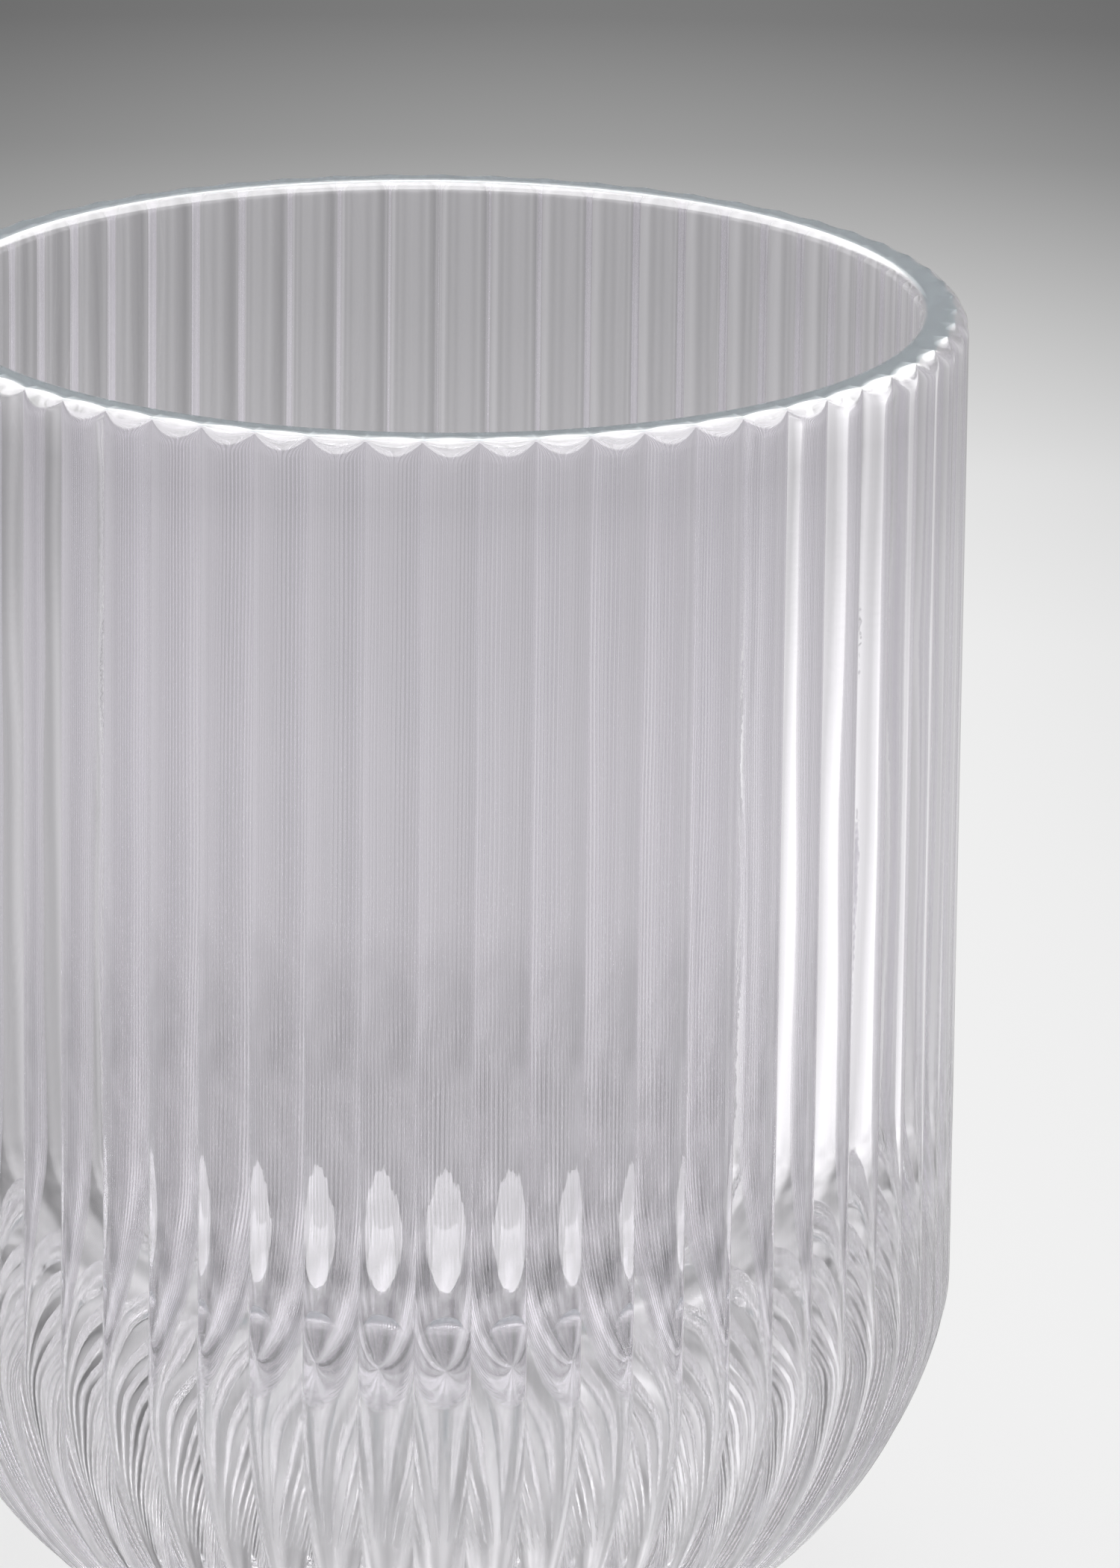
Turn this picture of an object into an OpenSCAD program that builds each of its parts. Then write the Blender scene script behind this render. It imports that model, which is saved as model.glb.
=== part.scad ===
// Reeded drinking glass, pressed in one piece: a plain cylindrical wall with sixty convex
// reeds outside, a fire-polished rim, and a lower body that curves in to a flat base.
// The base rests on z = 0, the axis of the glass is +Z. Millimetres.

/* [Overall] */
// diameter across the tips of the reeds, at the rim and down the straight wall
outside_diameter = 80; // [72:1:90]
// height from the resting face to the top of the rim
glass_height = 102; // [92:1:120]

/* [Wall] */
// thickness of the wall at the tips of the reeds
wall = 3.7; // [3.2:0.1:4.6]
// solid glass under the lowest point of the inside
floor_thickness = 8; // [6:0.5:12]
// how far the rim is rounded over on its outer edge
rim_round_outside = 1.0; // [0.8:0.1:1.4]
// how far the rim is rounded over on its inner edge
rim_round_inside = 0.8; // [0.5:0.1:1]

/* [Reeds] */
// number of reeds around the glass
reed_count = 60; // [48:4:64]
// height of a reed from the notch beside it to its tip
reed_height = 0.8; // [0.5:0.1:1]

/* [Lower body] */
// radius of the bend where the straight wall turns in
shoulder_radius = 15; // [10:1:20]
// angle the shoulder turns through before the bowl takes over
shoulder_angle = 15; // [12:1:20]
// radius of the bowl, from the shoulder to the base
bowl_radius = 36.5; // [34:0.5:40]
// diameter of the flat resting face, across the tips of the reeds
base_diameter = 40; // [34:1:46]

/* [Hidden] */
$fa = 3;
$fs = 0.3;
glass_tint = [0.80, 0.84, 0.90, 0.35];

// how far cutting shapes reach past what they cut
cut = 1;

tip_r = outside_diameter / 2;
inner_r = tip_r - wall;
base_r = base_diameter / 2;

// a reed is an arc: a rod of radius rod_r set with its middle rod_at from the axis
half_pitch = 180 / reed_count;
notch_r = tip_r - reed_height;
notch_x = notch_r * cos(half_pitch);
notch_y = notch_r * sin(half_pitch);
rod_r = (pow(tip_r - notch_x, 2) + notch_y * notch_y) / (2 * (tip_r - notch_x));
rod_at = tip_r - rod_r;

// outline at the reed tips: straight wall, shoulder arc, then bowl arc down to the base
shoulder_in = tip_r - shoulder_radius * (1 - cos(shoulder_angle));
base_angle = acos(cos(shoulder_angle) - (shoulder_in - base_r) / bowl_radius);
shoulder_drop = shoulder_radius * sin(shoulder_angle);
bowl_drop = bowl_radius * (sin(base_angle) - sin(shoulder_angle));
straight_z = shoulder_drop + bowl_drop;

// rings of the outside, from the base up: [radius at the tips, height, most that the rim allows]
shoulder_steps = 2;
bowl_steps = 6;
rim_steps = 3;
reed_steps = 4;
bowl_rings = [
  for (i = [0 : bowl_steps])
    let (a = base_angle + (shoulder_angle - base_angle) * i / bowl_steps)
    [shoulder_in - bowl_radius * (cos(shoulder_angle) - cos(a)),
     bowl_radius * (sin(base_angle) - sin(a)),
     tip_r]
];
shoulder_rings = [
  for (i = [1 : shoulder_steps])
    let (a = shoulder_angle * (1 - i / shoulder_steps))
    [tip_r - shoulder_radius * (1 - cos(a)), straight_z - shoulder_radius * sin(a), tip_r]
];
rim_rings = [
  for (i = [0 : rim_steps])
    let (a = 90 * i / rim_steps)
    [tip_r,
     glass_height - rim_round_outside * (1 - sin(a)),
     tip_r - rim_round_outside * (1 - cos(a))]
];
rings = concat(bowl_rings, shoulder_rings, rim_rings);

// distance from the axis to the reeded surface, t degrees off the middle of a reed
function reed_at(t) = rod_at * cos(t) + sqrt(rod_r * rod_r - pow(rod_at * sin(t), 2));
function off_middle(k) = ((k % reed_steps) / reed_steps - 0.5) * 2 * half_pitch;

// solid outside of the glass: reeds narrow towards the base and end under the rounded rim
module reeded_solid() {
  around = reed_count * reed_steps;
  top = len(rings) - 1;
  pts = [
    for (ring = rings)
      for (k = [0 : around - 1])
        let (
          r = min(reed_at(off_middle(k)) * ring[0] / tip_r, ring[2]),
          a = 2 * half_pitch * k / reed_steps - half_pitch
        )
        [r * cos(a), r * sin(a), ring[1]]
  ];
  sides = [
    for (j = [0 : top - 1])
      for (k = [0 : around - 1])
        let (n = (k + 1) % around)
        [j * around + k, (j + 1) * around + k, (j + 1) * around + n, j * around + n]
  ];
  bottom_face = [[for (k = [0 : around - 1]) k]];
  top_face = [[for (k = [around - 1 : -1 : 0]) top * around + k]];
  polyhedron(pts, concat(sides, bottom_face, top_face), convexity = 6);
}

// inside of the glass: smooth wall running into a half-round bottom
module inside_space() {
  round_z = floor_thickness + inner_r;
  rotate_extrude(convexity = 4)
    union() {
      translate([0, round_z])
        square([inner_r, glass_height + cut - round_z]);
      intersection() {
        translate([0, round_z])
          circle(r = inner_r);
        square([inner_r + cut, round_z]);
      }
      difference() {
        translate([inner_r - cut, glass_height - rim_round_inside])
          square([rim_round_inside + cut, rim_round_inside + cut]);
        translate([inner_r + rim_round_inside, glass_height - rim_round_inside])
          circle(r = rim_round_inside);
      }
    }
}

module tumbler() {
  color(glass_tint)
    difference() {
      reeded_solid();
      inside_space();
    }
}

tumbler();
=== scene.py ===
# %% [markdown]
# # A reeded drinking glass
# The object is a clear tumbler pressed in one piece. Its wall is smooth inside and carries
# sixty convex reeds outside, its rim is fire-polished, and its lower body curves in to a base.
# One rule describes all of it, so the whole glass can be grown from one outline and one
# formula, and most of the remaining work is light: clear glass only shows what surrounds it.
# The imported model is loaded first, because it fixes the frame and every overall size.

# %% Load the frame
import math
import bpy
from mathutils import Matrix, Vector


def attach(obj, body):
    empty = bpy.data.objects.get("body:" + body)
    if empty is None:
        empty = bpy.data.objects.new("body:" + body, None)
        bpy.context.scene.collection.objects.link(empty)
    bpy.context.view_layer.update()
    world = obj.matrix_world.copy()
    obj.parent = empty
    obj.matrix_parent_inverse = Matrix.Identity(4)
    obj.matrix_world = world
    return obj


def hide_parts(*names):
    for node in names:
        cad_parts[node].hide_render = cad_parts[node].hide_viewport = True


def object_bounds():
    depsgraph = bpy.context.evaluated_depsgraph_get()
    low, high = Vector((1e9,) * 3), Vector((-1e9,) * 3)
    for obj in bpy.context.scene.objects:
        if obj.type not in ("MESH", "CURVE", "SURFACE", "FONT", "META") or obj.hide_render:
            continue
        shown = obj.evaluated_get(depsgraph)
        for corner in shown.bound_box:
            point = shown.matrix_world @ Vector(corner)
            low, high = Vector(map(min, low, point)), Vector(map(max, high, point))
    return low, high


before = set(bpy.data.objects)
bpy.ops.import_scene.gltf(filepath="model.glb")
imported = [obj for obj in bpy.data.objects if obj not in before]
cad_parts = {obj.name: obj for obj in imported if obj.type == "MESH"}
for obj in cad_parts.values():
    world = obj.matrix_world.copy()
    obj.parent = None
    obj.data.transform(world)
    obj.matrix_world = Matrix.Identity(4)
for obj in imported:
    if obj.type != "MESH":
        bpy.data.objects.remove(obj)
cad_low, cad_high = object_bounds()

# %% [markdown]
# ## Sizes
# The radius at the reed tips and the height come from the frame's own box, so the glass drawn
# here can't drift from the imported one. What the box can't tell, such as the wall or the height
# of a reed, is named here once, in metres.

# %% Sizes of the glass
MM = 0.001
TIP_RADIUS = (cad_high[0] - cad_low[0]) / 2
HEIGHT = cad_high[2] - cad_low[2]
WALL = 3.7 * MM
FLOOR_THICKNESS = 8 * MM
REEDS = 60
REED_HEIGHT = 0.8 * MM
SHOULDER_RADIUS = 15 * MM
SHOULDER_ANGLE = math.radians(15)
BOWL_RADIUS = 36.5 * MM
BASE_RADIUS = 20 * MM
CAP_ROUND = 1.6 * MM
RIM_ROUND_INSIDE = 0.8 * MM
INNER_RADIUS = TIP_RADIUS - WALL
print(f"tip radius {TIP_RADIUS / MM:.1f} mm, height {HEIGHT / MM:.1f} mm")

# %% [markdown]
# ## Two small helpers for node trees
# Geometry trees and shader trees are both made of nodes joined by links, and long sums are
# hard to read that way. A `Socket` stands for one output, so that `radius * cos(angle)` can be
# written as plain arithmetic and turns into Math nodes by itself. A `Graph` adds any other
# node in one call: its type, its settings, then the values or links of its sockets.

# %% Socket and Graph
class Socket:
    """One output of a node. Arithmetic on it adds Math nodes to the same tree."""

    def __init__(self, graph, output):
        self.graph = graph
        self.output = output

    def math(self, operation, *others):
        inputs = dict(enumerate((self, *others)))
        return self.graph.add("ShaderNodeMath", {"operation": operation}, inputs)

    def __add__(self, other):
        return self.math("ADD", other)

    def __sub__(self, other):
        return self.math("SUBTRACT", other)

    def __mul__(self, other):
        return self.math("MULTIPLY", other)

    def __truediv__(self, other):
        return self.math("DIVIDE", other)

    def __pow__(self, other):
        return self.math("POWER", other)

    def __neg__(self):
        return self.math("MULTIPLY", -1.0)

    def __rsub__(self, other):
        return -self + other

    def __rtruediv__(self, other):
        return self.graph.value(other).math("DIVIDE", self)

    __radd__ = __add__
    __rmul__ = __mul__


class Graph:
    """A node tree that is filled one call at a time."""

    def __init__(self, tree):
        self.tree = tree

    def add(self, kind, settings=None, inputs=None, output=0):
        node = self.tree.nodes.new(kind)
        for name, setting in (settings or {}).items():
            if name == "stops":
                self.set_stops(node.color_ramp, setting)
            else:
                setattr(node, name, setting)
        for name, value in (inputs or {}).items():
            target = node.inputs[name]
            if isinstance(value, Socket):
                self.tree.links.new(value.output, target)
            else:
                target.default_value = value
        return Socket(self, node.outputs[output]) if node.outputs else node

    def outputs(self, socket, name):
        """Another output of the node that a socket belongs to."""
        return Socket(self, socket.output.node.outputs[name])

    def value(self, number):
        return self.add("ShaderNodeMath", {"operation": "ADD"}, {0: float(number), 1: 0.0})

    @staticmethod
    def set_stops(ramp, stops):
        while len(ramp.elements) > 1:
            ramp.elements.remove(ramp.elements[0])
        ramp.elements[0].position = stops[0][0]
        ramp.elements[0].color = stops[0][1]
        for place, colour in stops[1:]:
            ramp.elements.new(place).color = colour


# %% [markdown]
# ## The outline
# A glass mould is drawn as a half section: up the outside, over the rim, down the inside. The
# outside is a straight wall that turns in through a short shoulder arc and then a wide bowl
# arc, which meet without a kink. The inside is a plain cylinder that ends in a half-round
# bottom, so the glass is thin at the wall and heavy at the heel. Arcs are sampled by angle
# and straight runs by length, with the most points where the fire polish rounds the rim.
#
# Each point also carries three numbers for later: how much of the reeds it has, whether the
# rounding of the reed tips leaves it alone, and how much of the slight waviness of pressed
# glass it takes. The mould keeps the outside truer than the plunger keeps the inside.

# %% Draw the outline
OUTSIDE_WAVE = 0.25
CAP_WAVE = 0.5 * OUTSIDE_WAVE
BASE_RINGS = (0.5, 0.8, 0.92, 0.98)
BOWL_STEPS = 22
SHOULDER_STEPS = 6
WALL_STEPS = 14
CAP_STEPS = 14
LIP_STEPS = 9
INSIDE_STEPS = 26


def spread(start, end, count):
    """Evenly spaced values from start to end, both included."""
    return [start + (end - start) * i / (count - 1) for i in range(count)]


def arc_points(middle, radius, start, end, count):
    """Points (radius from the axis, height) along an arc; angles run from +X towards +Z."""
    return [
        (middle[0] + radius * math.cos(a), middle[1] + radius * math.sin(a))
        for a in spread(start, end, count)
    ]


def outside_points():
    shoulder_in = TIP_RADIUS - SHOULDER_RADIUS * (1 - math.cos(SHOULDER_ANGLE))
    base_angle = math.acos(math.cos(SHOULDER_ANGLE) - (shoulder_in - BASE_RADIUS) / BOWL_RADIUS)
    bowl_middle = (
        shoulder_in - BOWL_RADIUS * math.cos(SHOULDER_ANGLE),
        BOWL_RADIUS * math.sin(base_angle),
    )
    shoulder_drop = SHOULDER_RADIUS * math.sin(SHOULDER_ANGLE)
    straight_z = bowl_middle[1] - BOWL_RADIUS * math.sin(SHOULDER_ANGLE) + shoulder_drop
    shoulder_middle = (TIP_RADIUS - SHOULDER_RADIUS, straight_z)
    bowl = arc_points(bowl_middle, BOWL_RADIUS, -base_angle, -SHOULDER_ANGLE, BOWL_STEPS)
    shoulder = arc_points(shoulder_middle, SHOULDER_RADIUS, -SHOULDER_ANGLE, 0, SHOULDER_STEPS)
    # the last wall point stays clear of the first cap point
    wall_top = HEIGHT - 1.5 * CAP_ROUND
    wall = [(TIP_RADIUS, z) for z in spread(straight_z, wall_top, WALL_STEPS)]
    return bowl + shoulder[1:] + wall[1:]


def outline_rows():
    """Rows of (radius, height, share of the reeds, 1 if no cap rounds it, waviness)."""
    rows = [(0.0, 0.0, 0.0, 1.0, 0.0)]
    # the reeds fade out quickly towards the middle of the base
    rows += [(BASE_RADIUS * s, 0.0, s**6, 1.0, 0.0) for s in BASE_RINGS]
    rows += [(r, z, 1.0, 0.0, OUTSIDE_WAVE) for r, z in outside_points()]
    cap = arc_points((0, HEIGHT - CAP_ROUND), CAP_ROUND, 0, math.pi / 2, CAP_STEPS)
    rows += [(TIP_RADIUS, z, 1.0, 0.0, CAP_WAVE) for _, z in cap]
    lip_middle = (INNER_RADIUS + RIM_ROUND_INSIDE, HEIGHT - RIM_ROUND_INSIDE)
    lip = arc_points(lip_middle, RIM_ROUND_INSIDE, math.pi / 2, math.pi, LIP_STEPS)
    rows += [(r, z, 0.0, 1.0, 0.0) for r, z in lip]
    round_z = FLOOR_THICKNESS + INNER_RADIUS
    inner_wall = spread(lip[-1][1], round_z, WALL_STEPS)[1:]
    rows += [(INNER_RADIUS, z, 0.0, 1.0, 1.0) for z in inner_wall]
    bowl = arc_points((0, round_z), INNER_RADIUS, 0, -math.pi / 2, INSIDE_STEPS)[1:-1]
    rows += [(r, z, 0.0, 1.0, 1.0) for r, z in bowl]
    rows.append((0.0, FLOOR_THICKNESS, 0.0, 1.0, 0.0))
    return rows


rows = outline_rows()
print("outline rows:", len(rows))

# %% [markdown]
# ## The outline as a mesh
# Geometry Nodes can read a point's place and its attributes by index, so the outline is handed
# over as a mesh of loose points with the three numbers stored on them.

# %% Outline mesh
def outline_object(rows):
    mesh = bpy.data.meshes.new("glass_outline")
    mesh.from_pydata([(r, 0.0, z) for r, z, *_ in rows], [], [])
    for column, name in ((2, "reed_share"), (3, "no_cap"), (4, "wave_share")):
        attribute = mesh.attributes.new(name, "FLOAT", "POINT")
        attribute.data.foreach_set("value", [row[column] for row in rows])
    outline = bpy.data.objects.new("reeded_glass", mesh)
    bpy.context.scene.collection.objects.link(outline)
    return outline


glass_outline = outline_object(rows)
print("outline points:", len(glass_outline.data.vertices))

# %% [markdown]
# ## The glass, grown by a rule
# Sixty reeds could be cut with booleans or drawn one by one, but they all follow one rule, so a
# Geometry Nodes tree can grow the whole glass as a single closed skin. A grid has one column
# for each step round the glass and one row for each outline point. The tree moves every grid
# vertex to its row's outline point, swings it round the axis by its column's angle, and pulls
# it in by the depth of the reeds there. Its sizes are named inputs, so the same tree can grow
# another glass.

# %% Inputs of the tree
GLASS_INPUTS = {
    "Reeds": ("NodeSocketInt", REEDS),
    "Columns per Reed": ("NodeSocketInt", 14),
    "Rows": ("NodeSocketInt", len(rows)),
    "Tip Radius": ("NodeSocketFloat", TIP_RADIUS),
    "Reed Height": ("NodeSocketFloat", REED_HEIGHT),
    "Glass Height": ("NodeSocketFloat", HEIGHT),
    "Cap Round": ("NodeSocketFloat", CAP_ROUND),
    "Wave Height": ("NodeSocketFloat", 0.14 * MM),
    "Wave Size": ("NodeSocketFloat", 7 * MM),
    "Merge Distance": ("NodeSocketFloat", 0.001 * MM),
}


def add_inputs(tree, sizes):
    tree.interface.new_socket("Geometry", in_out="INPUT", socket_type="NodeSocketGeometry")
    for name, (kind, default) in sizes.items():
        socket = tree.interface.new_socket(name, in_out="INPUT", socket_type=kind)
        socket.default_value = default
    tree.interface.new_socket("Geometry", in_out="OUTPUT", socket_type="NodeSocketGeometry")


print("inputs:", ", ".join(GLASS_INPUTS))

# %% [markdown]
# ## One reed
# A convex reed is an arc of a round rod whose middle lies near the inside wall. The rod has to
# pass through the reed's tip and through the notches on both sides of it, and those three
# points fix its radius. The rod's radius follows from the tip radius, the reed height and the
# number of reeds, so any of them can change and the reeds still meet in clean notches.

# %% Reach of a reed
def reed_reach(size, half_pitch, off_middle):
    """How far a reed reaches from the axis, at an angle off its middle."""
    tip = size["Tip Radius"]
    notch = tip - size["Reed Height"]
    notch_x = notch * half_pitch.math("COSINE")
    notch_y = notch * half_pitch.math("SINE")
    rod = ((tip - notch_x) ** 2 + notch_y**2) / ((tip - notch_x) * 2)
    rod_at = tip - rod
    side = rod_at * off_middle.math("SINE")
    return rod_at * off_middle.math("COSINE") + (rod**2 - side**2).math("SQRT")


# %% [markdown]
# ## The end of a reed
# Fire polishing melts the cut rim a little, and each reed ends like a fingertip. One rounding
# all the way round would look machined. So the radius shrinks along a quarter circle near the
# top, and that circle is wide over the middle of a reed and narrow in a notch.

# %% Cap of a reed
CAP_NARROWS = 0.85


def cap_inset(size, across, height):
    """How far the rounded end of a reed lies inside its side."""
    cap_round = size["Cap Round"] * (1 - across**2 * CAP_NARROWS)
    depth = (size["Glass Height"] - height).math("MAXIMUM", 0.0).math("MINIMUM", cap_round)
    cap_reach = (depth * (cap_round * 2 - depth)).math("SQRT")
    return cap_round - cap_reach


# %% [markdown]
# ## Waviness
# Pressed glass isn't perfectly true, and a few hundredths of a millimetre are enough to make
# the lines seen through it waver. The waves are a noise, longer along the glass than across it,
# because the plunger draws the glass upwards. The noise has no seed to roll: it depends on
# place alone, so every run gives the same glass.

# %% Waves
WAVE_STRETCH = 3.5


def wave_offset(g, size, radius, angle, height, share):
    """How far the surface moves out or in."""
    around = g.add(
        "ShaderNodeCombineXYZ",
        None,
        {
            "X": radius * angle.math("COSINE") / size["Wave Size"],
            "Y": radius * angle.math("SINE") / size["Wave Size"],
            "Z": height / (size["Wave Size"] * WAVE_STRETCH),
        },
    )
    noise = g.add(
        "ShaderNodeTexNoise", {"noise_dimensions": "3D"}, {"Vector": around, "Scale": 1.0}
    )
    wave = (noise - 0.5) * 2 * size["Wave Height"] * share
    # the outside is first sunk by its wave's height, so that no wave leaves the box
    sunk = size["Wave Height"] * share.math("MINIMUM", OUTSIDE_WAVE)
    return wave - sunk


# %% [markdown]
# ## The whole tree
# Columns crowd together towards the notches, where the surface turns sharply, by way of a sine.
# The first and last columns, and the rows that lie on the axis, fall on the same points and
# are merged, which closes the skin.

# %% Geometry Nodes tree
def glass_tree(material):
    tree = bpy.data.node_groups.new("Reeded Glass", "GeometryNodeTree")
    add_inputs(tree, GLASS_INPUTS)
    g = Graph(tree)
    given = g.add("NodeGroupInput")
    size = {name: g.outputs(given, name) for name in GLASS_INPUTS}
    outline = g.outputs(given, "Geometry")

    columns = size["Reeds"] * size["Columns per Reed"]
    grid = g.add(
        "GeometryNodeMeshGrid", None, {"Vertices X": columns + 1, "Vertices Y": size["Rows"]}
    )
    index = g.add("GeometryNodeInputIndex")
    row = index.math("MODULO", size["Rows"])
    column = (index / size["Rows"]).math("FLOOR")

    def at_row(kind, value):
        return g.add(
            "GeometryNodeSampleIndex",
            {"data_type": kind, "domain": "POINT"},
            {"Geometry": outline, "Value": value, "Index": row},
        )

    def from_outline(name):
        value = g.add("GeometryNodeInputNamedAttribute", {"data_type": "FLOAT"}, {"Name": name})
        return at_row("FLOAT", value)

    place = at_row("FLOAT_VECTOR", g.add("GeometryNodeInputPosition"))
    radius = g.add("ShaderNodeSeparateXYZ", None, {0: place})
    height = g.outputs(radius, "Z")

    # across runs from -1 to 1 over one reed, with its steps crowded at both ends
    reed = (column / size["Columns per Reed"]).math("FLOOR")
    step = column / size["Columns per Reed"] - reed
    across = ((step * 2 - 1) * (math.pi / 2)).math("SINE")
    half_pitch = math.pi / size["Reeds"]
    off_middle = across * half_pitch
    angle = reed * half_pitch * 2 + off_middle

    reach = reed_reach(size, half_pitch, off_middle)
    narrowing = 1 - (1 - reach / size["Tip Radius"]) * from_outline("reed_share")
    inset = cap_inset(size, across, height) * (1 - from_outline("no_cap"))
    capped = radius * narrowing - inset
    share = from_outline("wave_share")
    final = capped + wave_offset(g, size, capped, angle, height, share)

    target = g.add(
        "ShaderNodeCombineXYZ",
        None,
        {"X": final * angle.math("COSINE"), "Y": final * angle.math("SINE"), "Z": height},
    )
    placed = g.add("GeometryNodeSetPosition", None, {"Geometry": grid, "Position": target})
    merged = g.add(
        "GeometryNodeMergeByDistance",
        None,
        {"Geometry": placed, "Distance": size["Merge Distance"]},
    )
    smooth = g.add("GeometryNodeSetShadeSmooth", None, {"Geometry": merged, "Shade Smooth": True})
    real = g.add("GeometryNodeRealizeInstances", None, {"Geometry": smooth})
    finished = g.add("GeometryNodeSetMaterial", None, {"Geometry": real, "Material": material})
    g.add("NodeGroupOutput", None, {"Geometry": finished})
    return tree


# %% [markdown]
# ## Clear glass
# Soda-lime glass has a refractive index of about 1.52 and absorbs very little: only a faint
# cool lilac shows, where light has crossed the wall several times. It would be possible to tint
# a volume, but a nearly white base colour does the same here and exports cleanly. The flat land
# on top of the rim is the exception. Looking into it is looking down the whole height of the
# wall, so it shows a deeper grey-teal. That grey-teal is partly the glass's own colour, gathered
# down the wall, and partly painted shade for the darker look of the land. A second colour,
# mixed in by height, paints both.
#
# A pressed surface isn't quite flat, so a very shallow bump, stretched along the draw of the
# mould, makes the light that passes through waver. It fades out towards the polished rim.

# %% Glass material
WALL_TINT = (0.966, 0.950, 0.984, 1.0)
# the land's colour: the glass's own teal plus painted shade that darkens the flat top of the rim
LAND_TEAL_AND_PAINTED_SHADE = (0.42, 0.53, 0.58, 1.0)
LAND_DEPTH = 0.09 * MM
REFRACTIVE_INDEX = 1.52
RIPPLES_PER_METRE = (420.0, 420.0, 60.0)
GRAINS_PER_METRE = 2200.0
GRAIN_SHARE = 0.25
POLISH_DEPTH = 3 * MM
POLISH_FADE = 6 * MM
BUMP_STRENGTH = 0.04
BUMP_DEPTH = 0.1 * MM
# a Mix node keeps its sockets for colours after those for numbers and vectors
COLOUR_A = 6
COLOUR_B = 7
MIXED_COLOUR = 2


def clear_glass():
    material = bpy.data.materials.new("clear_glass")
    material.use_nodes = True
    tree = material.node_tree
    shader = tree.nodes["Principled BSDF"]
    shader.inputs["Roughness"].default_value = 0.0
    shader.inputs["IOR"].default_value = REFRACTIVE_INDEX
    shader.inputs["Transmission Weight"].default_value = 1.0
    g = Graph(tree)
    place = g.outputs(g.add("ShaderNodeTexCoord"), "Object")
    stretched = g.add(
        "ShaderNodeVectorMath", {"operation": "MULTIPLY"}, {0: place, 1: RIPPLES_PER_METRE}
    )
    ripple = g.add("ShaderNodeTexNoise", None, {"Vector": stretched, "Scale": 1.0, "Detail": 2.0})
    grain = g.add(
        "ShaderNodeTexNoise", None, {"Vector": place, "Scale": GRAINS_PER_METRE, "Detail": 1.0}
    )
    height = g.outputs(g.add("ShaderNodeSeparateXYZ", None, {0: place}), "Z")
    # painted shade: the flat land of the rim is given a darker grey-teal, mixed in by height
    painted_shade_on_land = ((height - HEIGHT + LAND_DEPTH) / (0.5 * LAND_DEPTH)).math("MAXIMUM", 0.0)
    tint = g.add(
        "ShaderNodeMix",
        {"data_type": "RGBA"},
        {"Factor": painted_shade_on_land.math("MINIMUM", 1.0), COLOUR_A: WALL_TINT, COLOUR_B: LAND_TEAL_AND_PAINTED_SHADE},
        MIXED_COLOUR,
    )
    below_rim = (HEIGHT - POLISH_DEPTH - height) / POLISH_FADE
    unpolished = below_rim.math("MAXIMUM", 0.0).math("MINIMUM", 1.0)
    bump = g.add(
        "ShaderNodeBump",
        None,
        {
            "Height": (ripple + grain * GRAIN_SHARE) * unpolished,
            "Strength": BUMP_STRENGTH,
            "Distance": BUMP_DEPTH,
        },
    )
    tree.links.new(bump.output, shader.inputs["Normal"])
    tree.links.new(tint.output, shader.inputs["Base Color"])
    return material


glass_material = clear_glass()
print("material:", glass_material.name, "with", len(glass_material.node_tree.nodes), "nodes")

# %% [markdown]
# ## From rule to mesh
# The modifier is given its sizes, evaluated once, and frozen into a plain mesh, which then
# stands for the imported solid. The imported solid is hidden and stays in the scene. The
# imported solid stays for collision.

# %% Make the glass
def grow(outline, tree):
    modifier = outline.modifiers.new("reeds", "NODES")
    modifier.node_group = tree
    sockets = {
        item.name: item.identifier
        for item in tree.interface.items_tree
        if item.item_type == "SOCKET" and item.in_out == "INPUT"
    }
    for name, (_, value) in GLASS_INPUTS.items():
        modifier[sockets[name]] = value
    evaluated = outline.evaluated_get(bpy.context.evaluated_depsgraph_get())
    mesh = bpy.data.meshes.new_from_object(evaluated)
    outline.modifiers.remove(modifier)
    outline.data = mesh
    return outline


glass = grow(glass_outline, glass_tree(glass_material))
print("glass:", len(glass.data.vertices), "vertices,", len(glass.data.polygons), "faces")


def signed_volume(mesh):
    """Positive where the faces point outwards."""
    total = 0.0
    mesh.calc_loop_triangles()
    for triangle in mesh.loop_triangles:
        a, b, c = (mesh.vertices[i].co for i in triangle.vertices)
        total += a.dot(b.cross(c)) / 6
    return total


if signed_volume(glass.data) < 0:
    glass.data.flip_normals()
print(f"glass volume {signed_volume(glass.data) * 1e6:.1f} cubic centimetres")

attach(glass, "root")
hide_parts("tumbler")

# %% [markdown]
# ## What the glass shows
# Clear glass is drawn by what it bends into view, so its surroundings decide how it looks, and
# the same grey on every side would make the reeds vanish. A studio sets up cards round a glass
# for this reason. Cards could be modelled as planes, but the lower body bends most of its light
# down to the floor, where they wouldn't show. So the room is written as a level for each
# direction round the glass, which tints both the floor and the world: a white card on the
# right, a dark one on the left, and gentle swells between. Angles are in degrees and run from
# the right (+X) by way of the back (+Y). The eye itself sees the floor and backdrop plain.

# %% Light gathered by the glass
WHITE_CARD = 1.62
DARK_CARD = 0.38
BRIGHTEST = 3
SIDES = [
    # the white card, and the pale room next to it
    (0, WHITE_CARD),
    (22, WHITE_CARD),
    (24, 1.08),
    (36, 1.02),
    (60, 0.92),
    # behind
    (90, 0.90),
    (100, 0.82),
    (119, 0.84),
    (140, 1.04),
    (152, 0.98),
    # the dark card, with soft edges
    (162, 0.78),
    (174, 0.60),
    (176, DARK_CARD),
    (186, DARK_CARD),
    (189, 0.60),
    (205, 0.70),
    # in front
    (217, 0.86),
    (240, 0.84),
    (262, 0.95),
    (272, 1.06),
    (286, 0.98),
    (310, 1.12),
    (326, 0.92),
    # back to the white card
    (346, 1.00),
    (356, 1.12),
    (358, WHITE_CARD),
]
print("directions:", len(SIDES), "mean level", round(sum(v for _, v in SIDES) / len(SIDES), 2))

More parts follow.
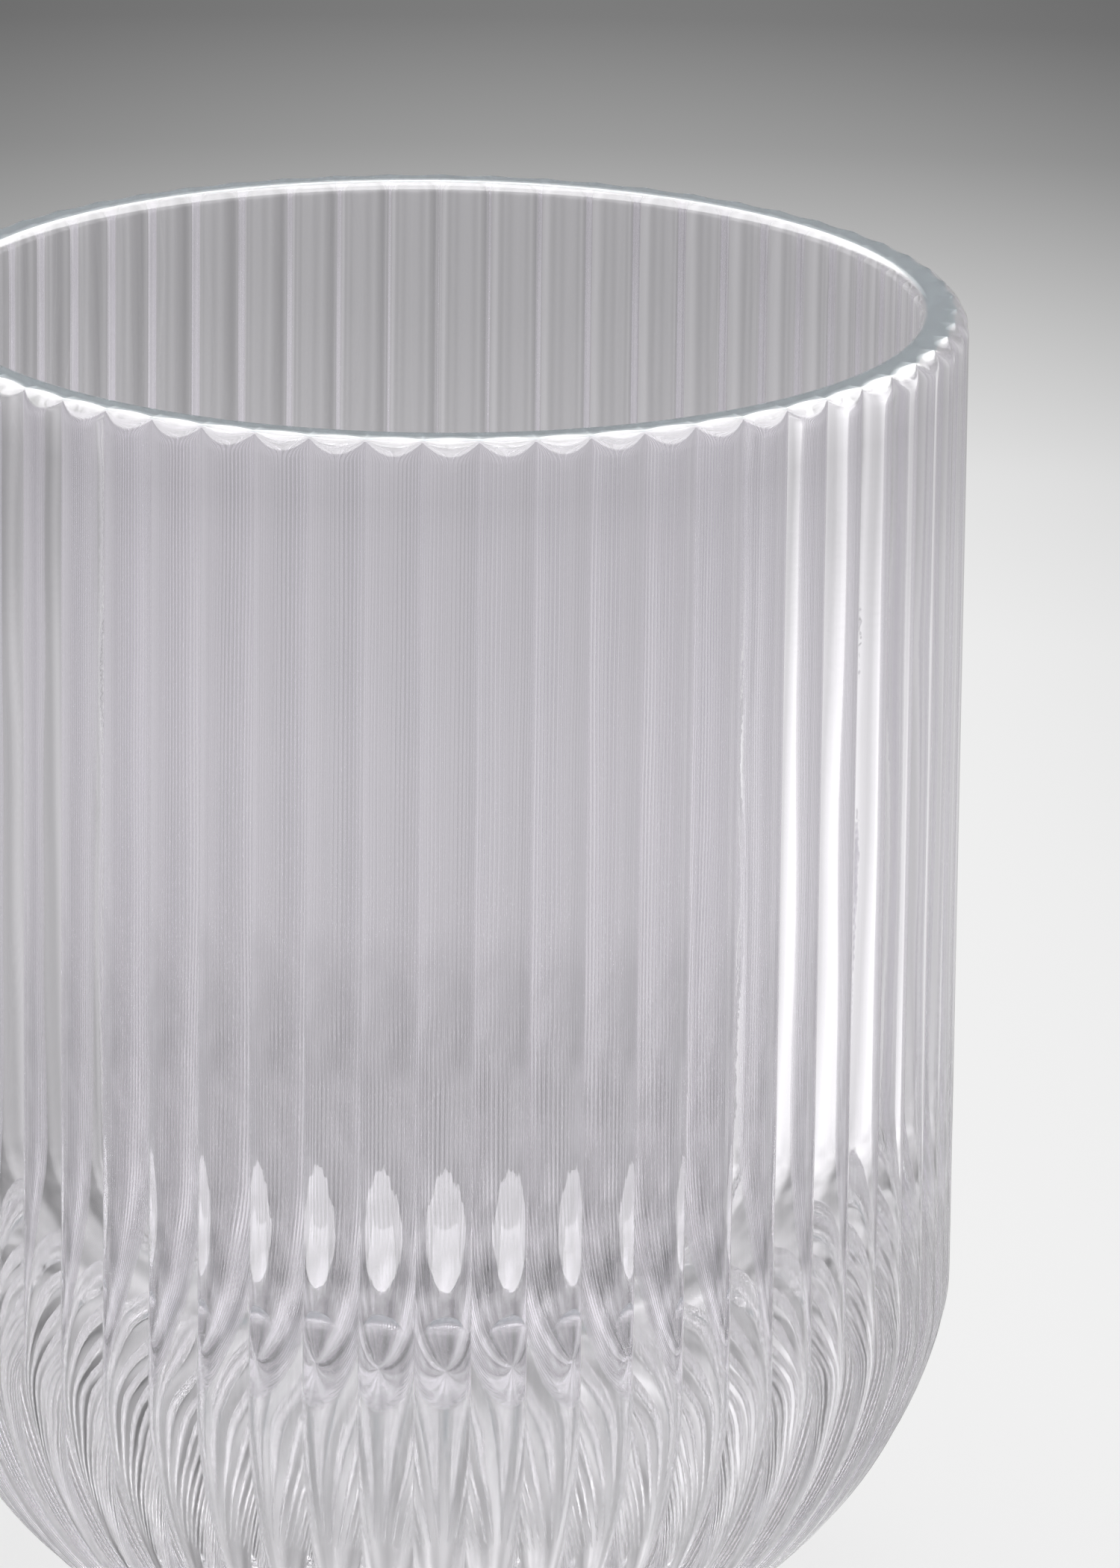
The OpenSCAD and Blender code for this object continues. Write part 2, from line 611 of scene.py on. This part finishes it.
# %% [markdown]
# ## From levels to light
# A colour ramp turns the list into a smooth ring of light round the axis. A room is never that
# even, so a noise over the direction lifts and sinks it in places. Close under the base the
# floor also carries the bright and dark patches that curved glass throws around itself.

# %% Ring of light
UNEVEN_DEPTH = 0.7
UNEVEN_SCALE = 5.0
NEAR_REACH = 0.16
NEAR_LIGHT = (-0.56, -0.83)
NEAR_DEPTH = 0.45
NEAR_WIDTH = 0.04
CAUSTICS_DEPTH = 1.6
CAUSTICS_SCALE = 45.0
TINY = 0.0001


def grey(level):
    return (level, level, level, 1.0)


def ramp(g, place, levels):
    """A grey that changes with place; levels is a list of (place, grey level)."""
    stops = [(at, grey(level)) for at, level in levels]
    return g.add("ShaderNodeValToRGB", {"stops": stops}, {"Fac": place})


def scaled(g, colour, factor):
    return g.add("ShaderNodeVectorMath", {"operation": "SCALE"}, {0: colour, "Scale": factor})


def sides(g, split):
    """How light it is in each direction: white on the right, dark on the left."""
    across, along = split, g.outputs(split, "Y")
    direction = along.math("ARCTAN2", across)
    turn = (direction / (2 * math.pi)).math("FRACT")
    # a ramp holds colours up to 1, so the levels go in as shares of the brightest allowed
    levels = ramp(g, turn, [(degrees / 360, level / BRIGHTEST) for degrees, level in SIDES])
    length = (across**2 + along**2).math("SQRT") + TINY
    circle = g.add("ShaderNodeCombineXYZ", None, {0: across / length, 1: along / length})
    noise = g.add(
        "ShaderNodeTexNoise", None, {"Vector": circle, "Scale": UNEVEN_SCALE, "Detail": 1.0}
    )
    uneven = (noise - 0.5) * (2 * UNEVEN_DEPTH) + 1
    return levels * BRIGHTEST * uneven


def under_glass(g, split, distance):
    """Close to the base the floor is lighter in front on the left, and patchy with caustics."""
    along = split * NEAR_LIGHT[0] + g.outputs(split, "Y") * NEAR_LIGHT[1]
    near = (1 - distance / NEAR_REACH).math("MAXIMUM", 0.0)
    slope = (along / NEAR_WIDTH).math("MAXIMUM", -1.0).math("MINIMUM", 1.0) * NEAR_DEPTH
    place = g.add("ShaderNodeTexCoord", output="Object")
    caustics = g.add(
        "ShaderNodeTexNoise", None, {"Vector": place, "Scale": CAUSTICS_SCALE, "Detail": 2.0}
    )
    return 1 + (slope + (caustics - 0.5) * (2 * CAUSTICS_DEPTH)) * near


def seen_through_glass(g):
    """1 for rays that come from the glass, reflected or let through."""
    path = g.add("ShaderNodeLightPath", output="Is Glossy Ray")
    return (path + g.outputs(path, "Is Transmission Ray")).math("MINIMUM", 1.0)


# %% [markdown]
# ## Floor
# The glass stands on a pale floor that is white round the glass and falls off to grey further
# out, and a little sooner at the sides, the way a studio table does under one soft lamp. The
# fall-off is written as a ramp over the distance from the glass, so it stays where it is when
# the camera moves. Light that neither reaches the eye directly nor comes through glass meets
# plain matt white, which keeps the soft shadow.

# %% Floor and its material
FLOOR_SIZE = 12.0
FLOOR_SEEN = [
    (0.0, 0.92),
    (0.2, 0.92),
    (0.27, 0.91),
    (0.33, 0.83),
    (0.39, 0.60),
    (0.46, 0.31),
    (0.52, 0.165),
    (0.62, 0.125),
    (1.0, 0.11),
]
SPOT_MIDDLE = 0.036
SPOT_FALL = 190.0
FLOOR_IN_GLASS = [
    (0.0, 0.50),
    (0.04, 0.54),
    (0.06, 0.61),
    (0.09, 0.66),
    (0.13, 0.62),
    (0.23, 0.64),
    (0.30, 0.60),
    (0.34, 0.51),
    (0.39, 0.46),
    (0.6, 0.42),
]
FLOOR_LIT_SHARE = 0.12
FLOOR_MATT = 0.8
FLOOR_GAP = 0.2 * MM


def floor_material():
    material = bpy.data.materials.new("pale_floor")
    material.use_nodes = True
    material.node_tree.nodes.clear()
    g = Graph(material.node_tree)
    place = g.outputs(g.add("ShaderNodeTexCoord"), "Object")
    distance = g.add("ShaderNodeVectorMath", {"operation": "LENGTH"}, {0: place}, "Value")
    split = g.add("ShaderNodeSeparateXYZ", None, {0: place})
    round_about = sides(g, split) * under_glass(g, split, distance)
    in_glass = scaled(g, ramp(g, distance, FLOOR_IN_GLASS), round_about)
    glass_glow = g.add("ShaderNodeEmission", None, {"Color": in_glass, "Strength": 1.0})
    off_axis = (split - SPOT_MIDDLE) ** 2 * distance
    seen = scaled(g, ramp(g, distance, FLOOR_SEEN), 1 / (off_axis * SPOT_FALL + 1))
    eye_glow = g.add("ShaderNodeEmission", None, {"Color": seen, "Strength": 1.0})
    matt = g.add("ShaderNodeBsdfDiffuse", None, {"Color": grey(FLOOR_MATT)})
    lit = g.add("ShaderNodeMixShader", None, {0: FLOOR_LIT_SHARE, 1: eye_glow, 2: matt})
    eye = g.add("ShaderNodeLightPath", output="Is Camera Ray")
    direct = g.add("ShaderNodeMixShader", None, {0: eye, 1: matt, 2: lit})
    surface = g.add(
        "ShaderNodeMixShader", None, {0: seen_through_glass(g), 1: direct, 2: glass_glow}
    )
    g.add("ShaderNodeOutputMaterial", None, {"Surface": surface})
    return material


def add_floor():
    half = FLOOR_SIZE / 2
    mesh = bpy.data.meshes.new("floor")
    corners = [(-half, -half, 0), (half, -half, 0), (half, half, 0), (-half, half, 0)]
    mesh.from_pydata(corners, [], [(0, 1, 2, 3)])
    floor = bpy.data.objects.new("floor", mesh)
    bpy.context.scene.collection.objects.link(floor)
    floor.location.z = cad_low[2] - FLOOR_GAP
    mesh.materials.append(floor_material())
    return floor


floor = add_floor()
print(f"floor: {FLOOR_SIZE:.0f} m wide, {-floor.location.z / MM:.1f} mm under the glass")

# %% [markdown]
# ## World
# Beyond the floor there is only soft grey: dim to the eye, and lighter for the glass, which
# gathers the glow of a whole room. Glass mirrors only a few percent of what is in front of it,
# so the white edges of a rim need a lamp many times brighter than white paper. A large soft
# lamp overhead is written into the world for rays that the glass mirrors, and is hidden from
# rays that pass through it, which would wash the wall out.

# %% World
WORLD_SEEN = [(0.0, 0.12), (0.3, 0.16), (1.0, 0.30)]
OVERHEAD = 7.0
WORLD_MIRRORED = [(0.0, 0.04), (0.27, 0.04), (0.36, 0.3), (0.45, 1.0), (1.0, 1.0)]
WORLD_IN_GLASS = [(0.0, 0.48), (0.2, 0.42), (0.45, 0.41), (0.55, 0.42), (1.0, 0.60)]


def make_world():
    world = bpy.data.worlds.new("studio")
    bpy.context.scene.world = world
    world.use_nodes = True
    world.node_tree.nodes.clear()
    g = Graph(world.node_tree)
    split = g.add("ShaderNodeSeparateXYZ", None, {0: g.add("ShaderNodeTexCoord")})
    up = g.outputs(split, "Z")
    in_glass = scaled(g, ramp(g, up, WORLD_IN_GLASS), sides(g, split))
    through = g.add("ShaderNodeBackground", None, {"Color": in_glass, "Strength": 1.0})
    mirrored = scaled(g, ramp(g, up, WORLD_MIRRORED), OVERHEAD)
    reflected = g.add("ShaderNodeBackground", None, {"Color": mirrored, "Strength": 1.0})
    path = g.add("ShaderNodeLightPath", output="Is Transmission Ray")
    for_glass = g.add("ShaderNodeMixShader", None, {0: path, 1: reflected, 2: through})
    seen = ramp(g, up, WORLD_SEEN)
    for_eye = g.add("ShaderNodeBackground", None, {"Color": seen, "Strength": 1.0})
    surface = g.add(
        "ShaderNodeMixShader", None, {0: seen_through_glass(g), 1: for_eye, 2: for_glass}
    )
    g.add("ShaderNodeOutputWorld", None, {"Surface": surface})


make_world()
print("world:", bpy.context.scene.world.name, "with an overhead lamp of level", OVERHEAD)

# %% [markdown]
# ## Lamp
# One broad soft lamp hangs above the glass. It lights the floor and gives the glass its soft
# shadow, and rays that pass through the glass don't meet it.

# %% Lamp
LAMP_HEIGHT = 1.2
LAMP_SIZE = 0.8
LAMP_POWER = 8.0


def soft_lamp():
    light = bpy.data.lights.new("lamp_above", "AREA")
    light.shape = "RECTANGLE"
    light.size = LAMP_SIZE
    light.size_y = LAMP_SIZE
    light.energy = LAMP_POWER
    lamp = bpy.data.objects.new("lamp_above", light)
    lamp.location = (0.0, 0.0, LAMP_HEIGHT)
    lamp.rotation_mode = "QUATERNION"
    lamp.rotation_quaternion = Vector((0.0, 0.0, -1.0)).to_track_quat("-Z", "Y")
    lamp.visible_camera = False
    lamp.visible_transmission = False
    bpy.context.scene.collection.objects.link(lamp)
    return lamp


lamp_above = soft_lamp()
print(f"lamp: {lamp_above.data.energy:.0f} W at {LAMP_HEIGHT} m")

# %% [markdown]
# ## Camera
# A long lens a metre away looks down on the rim at about fifteen degrees. The frame is filled
# by the glass, and cuts it at the left and at the foot. The camera is turned a little about
# the axis, so that the reeds fall at the right places.

# %% Camera
CAMERA_DISTANCE = 25 * TIP_RADIUS
RIM_LOOK_DOWN = math.radians(14.65)
CAMERA_TURN = math.radians(-2.14)
CAMERA_ROLL = math.radians(-0.679)
LENS = 308.57
SENSOR = 36.0
FAR = 50.0
AIM = (0.24865 * TIP_RADIUS, 0.0, HEIGHT - 0.93311 * TIP_RADIUS)


def add_camera():
    camera = bpy.data.cameras.new("camera")
    camera.lens = LENS
    camera.sensor_width = SENSOR
    camera.clip_end = FAR
    holder = bpy.data.objects.new("camera", camera)
    bpy.context.scene.collection.objects.link(holder)
    turn = Matrix.Rotation(CAMERA_TURN, 4, "Z")
    rim_middle = Vector((0.0, 0.0, HEIGHT))
    back = Vector((0.0, -math.cos(RIM_LOOK_DOWN), math.sin(RIM_LOOK_DOWN)))
    place = rim_middle + back * CAMERA_DISTANCE
    look = (Vector(AIM) - place).to_track_quat("-Z", "Y").to_matrix().to_4x4()
    roll = Matrix.Rotation(-CAMERA_ROLL, 4, "Z")
    holder.matrix_world = turn @ Matrix.Translation(place) @ look @ roll
    bpy.context.scene.camera = holder
    return holder


camera = add_camera()
print("camera at", [round(value, 3) for value in camera.matrix_world.translation])

# %% [markdown]
# ## Finish
# The plain Standard view keeps colours as they are written. Light that runs along inside a wall
# of glass bounces dozens of times before it comes out at the rim, and would be given up as
# black at the usual limit, so the limit is raised.

# %% Finish
BOUNCES = 40
bpy.context.scene.view_settings.view_transform = "Standard"
bpy.context.scene.cycles.max_bounces = BOUNCES
bpy.context.scene.cycles.transmission_bounces = BOUNCES
bpy.context.scene.cycles.glossy_bounces = BOUNCES
